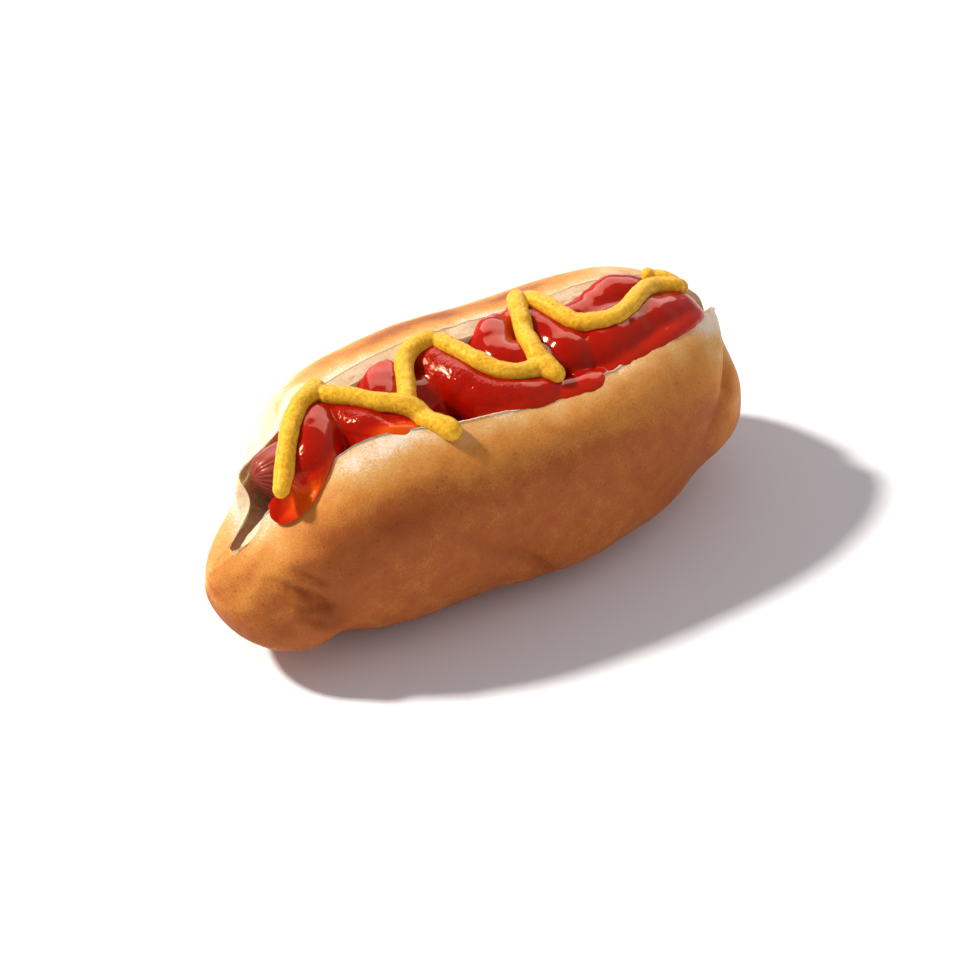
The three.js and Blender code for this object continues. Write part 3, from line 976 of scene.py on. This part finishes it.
    def toast_and_shading(self, points: np.ndarray, way: np.ndarray) -> np.ndarray:
        """Works out how brown each point is baked, with painted shade in the creases and a painted light
        patch on the left heel.

        Args:
            points: Points, one a row.
            way: Way from the near and the far lip in millimetres and openness of the cut.

        Returns:
            Values from 0, pale, to 1, dark.
        """
        bake = self.bake
        patches = Noise(5)
        x, y, z = points.T
        blotch = 0.5 * patches.smooth(points, 22.0) + 0.4 * patches.layered(points, 6.0, 3)
        from_near = way[:, 0] + 2.5 * patches.smooth(points + 9.0, 10.0)
        from_far = way[:, 1]
        near_side = (bake.near_lip + bake.near_shoulder * ease(1.0, 9.0, from_near)
                     + bake.near_flank * ease(8.0, 22.0, from_near))
        band = np.exp(-(((from_far - bake.far_band_way) / bake.far_band_reach) ** 2))
        band *= np.exp(-(((x - 2) / bake.far_band_half_length) ** 4))
        band *= 0.85 + 0.5 * patches.layered(points + 30.0, 12.0, 3)
        far_side = (bake.far_lip * (1 - ease(-30, -50, x)) + bake.far_band * band
                    + bake.far_flank * ease(16.0, 36.0, from_far))
        near_share = ease(-7.0, 7.0, way[:, 1] - way[:, 0])
        level = near_share * near_side + (1 - near_share) * far_side
        for spot in bake.spots:
            level += spot.by * bell(points, spot.at, spot.reach)
        from_lips = np.minimum(from_near, from_far)
        level += bake.left_end * ease(-60, -69, x) * ease(42, 32, z) * ease(14.0, 6.0, from_lips)
        level += bake.right_end * ease(48, 64, x) * ease(2, 36, z) * ease(12, -4, y)
        level += bake.far_right_end * ease(46, 68, x) * ease(-6, 10, y)
        # Painted shade: the crust turns browner in each crease, by the crease's depth.
        crease = np.max([fold.depth * fold.near(points) for fold in self.folds], axis=0)
        return np.clip(level + bake.blotches * blotch + bake.crease_shade * crease, 0.0, 1.0)

    def dress(self, piece: bpy.types.Object) -> None:
        """Gives the bun its finish and its place in the frame."""
        piece.data.materials.append(BreadFinish().make())
        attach(piece, ROOT)
        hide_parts("bun")


# The sausage


@dataclass
class Sausage:
    """The sausage, with gathered skin at both tied ends."""

    form: SausageForm
    stations: int = 260
    around: int = 120
    gathers: int = 22
    gather_reach: float = 4.5
    gather_depth: float = 0.09
    tip_inset: float = 1.2
    waves: float = 0.12

    def build(self) -> bpy.types.Object:
        """Builds the sausage.

        Returns:
            The piece.
        """
        form = self.form
        middle = (form.left_tip + form.right_tip) / 2
        half = (form.right_tip - form.left_tip) / 2
        cosine = -np.cos(np.pi * np.arange(1, self.stations) / self.stations)
        x = middle + half * cosine
        turn = 2 * np.pi * np.arange(self.around) / self.around
        ring_x = np.repeat(x[:, None], self.around, axis=1)
        tip_gap = np.minimum(x - form.left_tip, form.right_tip - x)
        gathered = np.exp(-((tip_gap / self.gather_reach) ** 2))[:, None]
        wobble = Noise(71).smooth(np.column_stack([np.cos(turn), np.sin(turn), 0 * turn]) * 3.0, 1.0)
        ridges = np.abs(np.sin(self.gathers / 2 * turn + 1.6 * wobble))[None, :]
        radius = form.girth(x)[:, None] * (1 - self.gather_depth * gathered * (1 - ridges))
        rings = np.stack([ring_x, form.side(x)[:, None] - radius * np.cos(turn),
                          form.height(x)[:, None] + radius * np.sin(turn)], axis=-1)
        left, right = form.left_tip, form.right_tip
        start = np.array([left + self.tip_inset, form.side(left), form.height(left)])
        end = np.array([right - self.tip_inset, form.side(right), form.height(right)])
        points, faces = loft(rings, start, end)
        # Painted shade mark: 1 in the folds between the gathered ridges and at the tips.
        fold = (gathered * (1 - ridges)).ravel()
        wave = self.waves * Noise(72).layered(points, 5.0, 3)
        points += normals_of(points, faces) * wave[:, None]
        return make_piece("sausage_skin", points, faces,
                          {"fold": np.concatenate([0.9 * fold, [1.0, 1.0]])})

    def dress(self, piece: bpy.types.Object) -> None:
        """Gives the sausage its finish and its place in the frame."""
        piece.data.materials.append(SausageFinish().make())
        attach(piece, ROOT)
        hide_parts("sausage")


# Ketchup and mustard


def resample(line: Sequence[Sequence[float]], count: int) -> np.ndarray:
    """Draws an even smooth curve through points.

    Args:
        line: Points of any number of values each, the first three of them a place.
        count: How many points the result has.

    Returns:
        The curve's points.
    """
    keys = np.asarray(line, float)
    keys = np.vstack([2 * keys[0] - keys[1], keys, 2 * keys[-1] - keys[-2]])
    pieces: list[np.ndarray] = []
    for a, b, c, d in zip(keys[:-3], keys[1:-2], keys[2:-1], keys[3:]):
        knots = np.cumsum([0.0, *(max(np.linalg.norm((q - p)[:3]) ** 0.5, 1e-4)
                                  for p, q in ((a, b), (b, c), (c, d)))])
        t = np.linspace(knots[1], knots[2], 40, endpoint=False)[:, None]
        ab = ((knots[1] - t) * a + (t - knots[0]) * b) / (knots[1] - knots[0])
        bc = ((knots[2] - t) * b + (t - knots[1]) * c) / (knots[2] - knots[1])
        cd = ((knots[3] - t) * c + (t - knots[2]) * d) / (knots[3] - knots[2])
        abc = ((knots[2] - t) * ab + (t - knots[0]) * bc) / (knots[2] - knots[0])
        bcd = ((knots[3] - t) * bc + (t - knots[1]) * cd) / (knots[3] - knots[1])
        pieces.append(((knots[2] - t) * abc + (t - knots[1]) * bcd) / (knots[2] - knots[1]))
    curve = np.vstack([*pieces, keys[-2]])
    way = np.concatenate([[0.0], np.cumsum(np.linalg.norm(np.diff(curve[:, :3], axis=0), axis=1))])
    even = np.linspace(0, way[-1], count)
    return np.column_stack([np.interp(even, way, curve[:, axis]) for axis in range(curve.shape[1])])


def bead(line: Sequence[Sequence[float]], rows: int, around: int, end_squareness: float,
         wobble: float = 0.0, seed: int = 0) -> tuple[np.ndarray, list[list[int]]]:
    """Lays a bead with round ends along points that each carry a radius.

    Args:
        line: Points of x, y, z and radius.
        rows: Rings along the bead.
        around: Points round each ring.
        end_squareness: How late the ends close; higher is blunter.
        wobble: Share of the radius by which the bead swells and thins.
        seed: Seed of that wobble.

    Returns:
        The points and faces.
    """
    curve = resample(line, 400)
    place = (1 - np.cos(np.pi * np.arange(rows + 1) / rows)) / 2
    index = place * 399
    middle = np.column_stack([np.interp(index, np.arange(400), curve[:, axis]) for axis in range(4)])
    tangent = np.gradient(middle[:, :3], axis=0)
    tangent /= np.linalg.norm(tangent, axis=1, keepdims=True)
    side = np.cross((0.0, 0.0, 1.0), tangent)
    side /= np.linalg.norm(side, axis=1, keepdims=True)
    lift = np.cross(tangent, side)
    radius = middle[:, 3] * np.sqrt(np.maximum(1 - np.abs(2 * place - 1) ** end_squareness, 0.0))
    if wobble:
        radius *= 1 + wobble * Noise(seed).layered(middle[:, :3], 3.2, 2)
    turn = 2 * np.pi * np.arange(around) / around
    rings = (middle[1:-1, None, :3]
             - radius[1:-1, None, None] * np.cos(turn)[None, :, None] * side[1:-1, None, :]
             + radius[1:-1, None, None] * np.sin(turn)[None, :, None] * lift[1:-1, None, :])
    return loft(rings, middle[0, :3], middle[-1, :3])


@dataclass
class Ketchup:
    """The ketchup: thick lobes melted together, some spilling over the near lip."""

    voxel: float = 0.5
    smoothing: int = 26
    swell: float = 0.35
    wide_waves: float = 0.25
    small_waves: float = 0.12
    film_spread: float = 1.6
    thin_edge: float = 0.25
    thin_film: float = 0.62
    lobe_rows: int = 60
    lobe_around: int = 48
    lobe_end_squareness: float = 6.0
    lobe_wobble: float = 0.08
    rippled: tuple[tuple[tuple[float, float, float], float], ...] = (
        ((-54, -8, 50), 5.0), ((-50, -7, 52), 4.0), ((-34, 0, 54), 4.0), ((-28, -4, 52), 3.0),
        ((-8, 4, 54), 4.0), ((-6, -1, 54), 4.5), ((-4, -8, 53), 4.0), ((0, -11, 52), 4.0),
    )
    lobes: tuple[tuple[tuple[float, float, float, float], ...], ...] = (
        ((-50, 0, 45, 5.5), (-30, 2, 45.5, 6.5), (0, 3, 45.5, 6.5), (30, 2, 45.5, 6.5), (58, 1, 44, 5)),
        ((-62, -6.5, 43, 3.4), (-59, -8, 44.2, 3.8), (-55, -8.2, 45.5, 4.0), (-51, -6, 46.5, 4.8),
         (-46, -2, 48, 6), (-42, 4, 48.5, 6.5), (-38, 9, 48.5, 6), (-36, 12, 48, 5)),
        ((-36, 10, 48.5, 5.5), (-34, 3, 48.5, 6), (-31, -3, 48.5, 6), (-27, -8, 48.5, 5.2),
         (-21, -12, 48.5, 4)),
        ((-22, -9, 48.5, 5), (-25, -3, 48.5, 5.5), (-24, 4, 49, 6), (-19, 11, 49, 6), (-14, 14.5, 48.5, 5)),
        ((-14, 14, 48.5, 5), (-8, 9, 49.2, 6), (-6.5, 4, 49.2, 6), (-5, -2, 49, 6), (-2.5, -7.5, 48, 6),
         (2, -11, 47.5, 6), (9, -12.5, 47, 6), (15, -10, 47, 6)),
        ((15, -10, 47.5, 6), (13, -4, 48.5, 5.5), (7, 0, 49.2, 6), (8, 6, 49.2, 6), (12, 10, 49.2, 6),
         (15, 14, 48.8, 5)),
        ((15, 14, 48.8, 5.5), (19, 8, 49, 6.2), (21, 1, 48.6, 6.6), (22, -6, 48, 6.8), (22, -12, 47, 6)),
        ((22, -8, 47.5, 7), (31, -7, 47.5, 7.5), (41, -5, 47, 7.5), (51, -4, 46, 7), (60, -3, 44.5, 5.5)),
        ((24, -14, 46.8, 3.5), (33, -13, 47.3, 3.6), (43, -11.5, 47.3, 3.6), (52, -9, 46.8, 3.4),
         (60, -6, 45.5, 3)),
        ((3, -13.5, 46, 4), (12, -15, 46.5, 4), (20, -15.5, 46.5, 4), (27, -15, 46.5, 3.5)),
        ((24, 6, 47.5, 5.5), (31, 5, 47, 5.5), (38, 7, 47.2, 5.5), (45, 8, 47.2, 6), (53, 5, 46.5, 5.5)),
    )
    films: tuple[tuple[tuple[float, float, float], tuple[float, float, float], float], ...] = (
        ((-57, -12, 44.5), (12, 7, 9), 0.9),
        ((-26, -10, 51), (8, 7, 7), 2.0),
    )

    def build(self, bun: bpy.types.Object) -> bpy.types.Object:
        """Builds the ketchup on the bun.

        Args:
            bun: The bun, whose surface tells where the ketchup is thin.

        Returns:
            The piece.
        """
        bodies = [bead(lobe, self.lobe_rows, self.lobe_around, self.lobe_end_squareness,
                       self.lobe_wobble, 40 + number) for number, lobe in enumerate(self.lobes)]
        points, faces = melt_together("ketchup_melt", bodies, self.voxel, self.smoothing)
        flow = Noise(51)
        push = (self.swell + self.wide_waves * flow.smooth(points, 8.0)
                + self.small_waves * flow.smooth(points, 3.4))
        points = points + normals_of(points, faces) * push[:, None]
        ripple = np.max([bell(points, at, (reach,) * 3) for at, reach in self.rippled], axis=0)
        tree = BVHTree.FromPolygons(points_of(bun).tolist(), faces_of(bun))
        near = np.array([tree.find_nearest(Vector(point))[0] for point in points])
        away = points - near
        gap = np.linalg.norm(away, axis=1)
        squash = np.ones(len(points))
        spilt = np.zeros(len(points))
        for at, reach, cap in self.films:
            film = np.minimum(self.film_spread * bell(points, at, reach), 1.0)
            flat = cap * (1 - np.exp(-gap / cap)) / np.maximum(gap, 1e-6)
            squash = np.minimum(squash, 1 - film * (1 - flat))
            spilt = np.maximum(spilt, film)
        above = (points[:, 2] > near[:, 2] - 0.2)[:, None]
        points = np.where(above, near + away * squash[:, None], points)
        depth = gap * squash
        thin = self.thin_edge * ease(3.0, 0.2, depth) + self.thin_film * spilt * ease(4.0, 1.2, depth)
        thin *= ease(38.0, 44.0, points[:, 2])
        return make_piece("ketchup_lobes", points, faces, {"thin": thin, "ripple": ripple})

    def dress(self, piece: bpy.types.Object) -> None:
        """Gives the ketchup its finish and its place in the frame."""
        piece.data.materials.append(KetchupFinish().make())
        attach(piece, ROOT)
        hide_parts("ketchup")


@dataclass
class Mustard:
    """The mustard: strands of one zigzag bead, melted where they meet."""

    radius: float = 2.3
    sink: float = 0.3
    top: float = 57.8
    footprint: float = 1.4
    falls_by: float = 2.5
    rises_by: float = 0.6
    thicker_reach: float = 3.2
    wobble: float = 0.10
    rows_per_point: int = 30
    around: int = 26
    end_squareness: float = 14.0
    fine_grain: float = 0.07
    coarse_grain: float = 0.09
    voxel: float = 0.24
    smoothing: int = 4
    thicker: tuple[tuple[float, float, float], ...] = (
        (-36, 11, 0.7), (-22, -6, 0.5), (-18, -17, 0.5), (-6, 11, 0.3), (12, -10, 0.6), (21, 14, 0.3),
        (-58, -8, -0.3), (52, 7, -0.5),
    )
    strands: tuple[tuple[tuple[float, float, float], ...], ...] = (
        ((-59, -9, 49.6), (-56, -5.5, 51.3), (-50.5, 1, 53), (-46.5, 5.2, 54), (-43, 8, 54.8),
         (-38.5, 10, 55.2), (-35, 12, 55.4)),
        ((-38, 9.2, 55.2), (-32, 3.4, 54.8), (-28.5, -0.8, 54.6), (-25, -3.5, 54.3), (-21.5, -6.8, 53.8),
         (-20.5, -11, 53.3), (-18.2, -15.8, 52.4), (-17.3, -18.2, 51.8)),
        ((-22, -4, 53.5), (-18.2, 2.4, 53.4), (-15.5, 7.3, 54), (-12, 10.2, 55), (-8, 11.2, 56),
         (-4, 11.1, 56.5)),
        ((-5, 11, 56.4), (-2.7, 3.4, 55.6), (-1.2, -1.7, 55), (1, -5.6, 54.4), (4, -8.2, 54),
         (9, -9, 54.2), (12, -9.5, 54.4)),
        ((20.8, 14.8, 55.3), (18, 10, 55.8), (15.3, 4.2, 55.6), (13.3, -0.7, 55.2), (12, -5.7, 54.6),
         (12.2, -10.4, 54), (13.5, -15, 52.8)),
        ((21.5, 14, 55.3), (23.8, 6, 55.2), (24.6, 1.2, 55), (26.2, -2.5, 54.8), (29.6, -4.8, 54.8),
         (34, -5.9, 54.8), (39, -4.6, 54.6), (45.5, -1, 54), (50.5, 0.9, 53.4), (55, 0.2, 52.2),
         (58, -1.6, 50.6)),
        ((57.8, -1.2, 50.8), (58, 2.9, 52), (55.4, 5.6, 53.2), (52, 7.2, 53.6)),
    )

    def drape(self, strand: Sequence[Sequence[float]], beds: Sequence[BVHTree]) -> list[tuple[float, ...]]:
        """Lays a strand on what is under it.

        Args:
            strand: Points of the strand.
            beds: Surfaces that it may rest on.

        Returns:
            Points of x, y, z and radius along the settled strand.
        """
        line = resample(strand, 8 * len(strand))
        rest = np.zeros(len(line))
        foot = self.footprint
        offsets = ((0.0, 0.0), (foot, 0.0), (-foot, 0.0), (0.0, foot), (0.0, -foot))
        for number, (x, y, _) in enumerate(line):
            hits = [bed.ray_cast(Vector((x + right, y + back, 90.0)), Vector((0.0, 0.0, -1.0)))[0]
                    for bed in beds for right, back in offsets]
            heights = [hit.z for hit in hits if hit is not None]
            rest[number] = max(heights) if heights else line[number, 2]
        padded = np.pad(rest, 4, mode="edge")
        rest = np.convolve(padded, np.ones(9) / 9, mode="valid")
        radius = np.full(len(line), self.radius)
        for x, y, extra in self.thicker:
            away = (line[:, 0] - x) ** 2 + (line[:, 1] - y) ** 2
            radius += extra * np.exp(-away / self.thicker_reach**2)
        height = np.clip(rest + self.sink * self.radius, line[:, 2] - self.falls_by,
                         line[:, 2] + self.rises_by)
        height = np.minimum(height, self.top - radius)
        return [(x, y, z, thick) for (x, y), z, thick in zip(line[:, :2], height, radius)]

    def build(self, beds: Sequence[bpy.types.Object]) -> bpy.types.Object:
        """Builds the mustard.

        Args:
            beds: The pieces that it lies on.

        Returns:
            The piece.
        """
        trees = [BVHTree.FromPolygons(points_of(bed).tolist(), faces_of(bed)) for bed in beds]
        bodies = [bead(self.drape(strand, trees), self.rows_per_point * len(strand), self.around,
                       self.end_squareness, self.wobble, 60 + number)
                  for number, strand in enumerate(self.strands)]
        points, faces = melt_together("mustard_melt", bodies, self.voxel, self.smoothing)
        grain = Noise(81)
        push = self.fine_grain * grain.smooth(points, 0.9) + self.coarse_grain * grain.smooth(points, 2.2)
        points = points + normals_of(points, faces) * push[:, None]
        return make_piece("mustard_zigzag", points, faces)

    def dress(self, piece: bpy.types.Object) -> None:
        """Gives the mustard its finish and its place in the frame."""
        piece.data.materials.append(MustardFinish().make())
        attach(piece, ROOT)
        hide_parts("mustard")


# The studio


@dataclass
class Studio:
    """A white floor, one low sun, a bright panel behind and the camera."""

    sun_direction: tuple[float, float, float] = (-0.68, 0.72, 1.0)
    sun_strength: float = 4.4
    sun_angle: float = 6.0
    sun_colour: tuple[float, float, float] = (1.0, 0.985, 0.96)
    sky: tuple[float, float, float] = (0.95, 0.905, 0.96)
    sky_strength: float = 0.35
    side_glow: float = 0.34
    glow_from: tuple[float, float, float] = (0.72, -0.36, 0.42)
    panel_power: float = 7.5
    panel_width: float = 1.1
    panel_height: float = 0.6
    panel_direction: tuple[float, float, float] = (0.428, 0.635, 0.643)
    panel_distance: float = 0.9
    floor_half: float = 3.0
    floor_gap: float = 0.1
    camera_azimuth: float = -34.0
    camera_elevation: float = 40.0
    camera_distance: float = 750.0
    pixels_per_mm: float = 4.25
    aim: tuple[float, float, float] = (0.0, 0.0, 27.0)
    aim_pixel: tuple[float, float] = (478.0, 450.0)
    image_width: float = 960.0
    sensor: float = 36.0

    def lay_floor(self) -> None:
        """Lays the white floor."""
        half = self.floor_half
        corners = [(-half, -half, 0), (half, -half, 0), (half, half, 0), (-half, half, 0)]
        mesh = bpy.data.meshes.new("floor")
        mesh.from_pydata(corners, [], [(0, 1, 2, 3)])
        floor = bpy.data.objects.new("floor", mesh)
        bpy.context.scene.collection.objects.link(floor)
        floor.location.z = -self.floor_gap * MM
        mesh.materials.append(FloorFinish().make())

    def light(self) -> None:
        """Sets the sun, the sky and the bright panel behind."""
        sun = bpy.data.lights.new("sun", "SUN")
        sun.energy = self.sun_strength
        sun.angle = math.radians(self.sun_angle)
        sun.color = self.sun_colour
        lamp = bpy.data.objects.new("sun", sun)
        lamp.rotation_euler = Vector(self.sun_direction).to_track_quat("Z", "Y").to_euler()
        bpy.context.scene.collection.objects.link(lamp)
        panel = bpy.data.lights.new("panel", "AREA")
        panel.shape = "RECTANGLE"
        panel.size, panel.size_y = self.panel_width, self.panel_height
        panel.energy = self.panel_power
        board = bpy.data.objects.new("panel", panel)
        way = Vector(self.panel_direction)
        board.location = way * self.panel_distance
        board.rotation_euler = way.to_track_quat("Z", "Y").to_euler()
        board.visible_diffuse = False
        bpy.context.scene.collection.objects.link(board)
        world = bpy.context.scene.world or bpy.data.worlds.new("world")
        bpy.context.scene.world = world
        world.use_nodes = True
        tree = world.node_tree
        background = tree.nodes["Background"]
        background.inputs["Color"].default_value = (*self.sky, 1.0)
        look = tree.nodes.new("ShaderNodeTexCoord")
        toward = tree.nodes.new("ShaderNodeVectorMath")
        toward.operation = "DOT_PRODUCT"
        toward.inputs[1].default_value = Vector(self.glow_from).normalized()
        glow = tree.nodes.new("ShaderNodeMapRange")
        glow.inputs["From Min"].default_value = 0.2
        glow.inputs["From Max"].default_value = 1.0
        glow.inputs["To Min"].default_value = self.sky_strength
        glow.inputs["To Max"].default_value = self.sky_strength + self.side_glow
        tree.links.new(look.outputs["Generated"], toward.inputs[0])
        tree.links.new(toward.outputs["Value"], glow.inputs["Value"])
        tree.links.new(glow.outputs["Result"], background.inputs["Strength"])
        bpy.context.scene.view_settings.view_transform = "Standard"
        bpy.context.scene.view_settings.look = "None"

    def place_camera(self) -> None:
        """Places the camera at the photograph's viewing angle."""
        azimuth, elevation = math.radians(self.camera_azimuth), math.radians(self.camera_elevation)
        back = Vector((math.sin(azimuth) * math.cos(elevation), -math.cos(azimuth) * math.cos(elevation),
                       math.sin(elevation)))
        right = Vector((math.cos(azimuth), math.sin(azimuth), 0.0))
        up = back.cross(right)
        target = Vector(self.aim) + Vector(SHIFT)
        middle = self.image_width / 2
        aim = (target + right * ((middle - self.aim_pixel[0]) / self.pixels_per_mm)
               - up * ((middle - self.aim_pixel[1]) / self.pixels_per_mm))
        camera = bpy.data.cameras.new("camera")
        camera.sensor_width = self.sensor
        camera.lens = self.sensor * self.pixels_per_mm * self.camera_distance / self.image_width
        camera.clip_end = 20.0
        eye = bpy.data.objects.new("camera", camera)
        eye.location = (target + back * self.camera_distance) * MM
        eye.rotation_euler = (target + back * self.camera_distance - aim).to_track_quat("Z", "Y").to_euler()
        bpy.context.scene.collection.objects.link(eye)
        bpy.context.scene.camera = eye


def report(piece: bpy.types.Object) -> None:
    """Reports a finished piece."""
    LOG.info("%s: %d points, %d faces", piece.name, len(piece.data.vertices), len(piece.data.polygons))


def main() -> None:
    """Builds the hot dog and its studio in order."""
    logging.basicConfig(level=logging.INFO, format="%(name)s: %(message)s")
    studio = Studio()
    studio.place_camera()
    studio.lay_floor()
    studio.light()
    form = SausageForm()
    bun = Bun(form)
    bread = bun.build()
    bun.dress(bread)
    report(bread)
    sausage = Sausage(form)
    skin = sausage.build()
    sausage.dress(skin)
    report(skin)
    ketchup = Ketchup()
    lobes = ketchup.build(bread)
    ketchup.dress(lobes)
    report(lobes)
    mustard = Mustard()
    zigzag = mustard.build([bread, skin, lobes])
    mustard.dress(zigzag)
    report(zigzag)


if __name__ == "__main__":
    main()
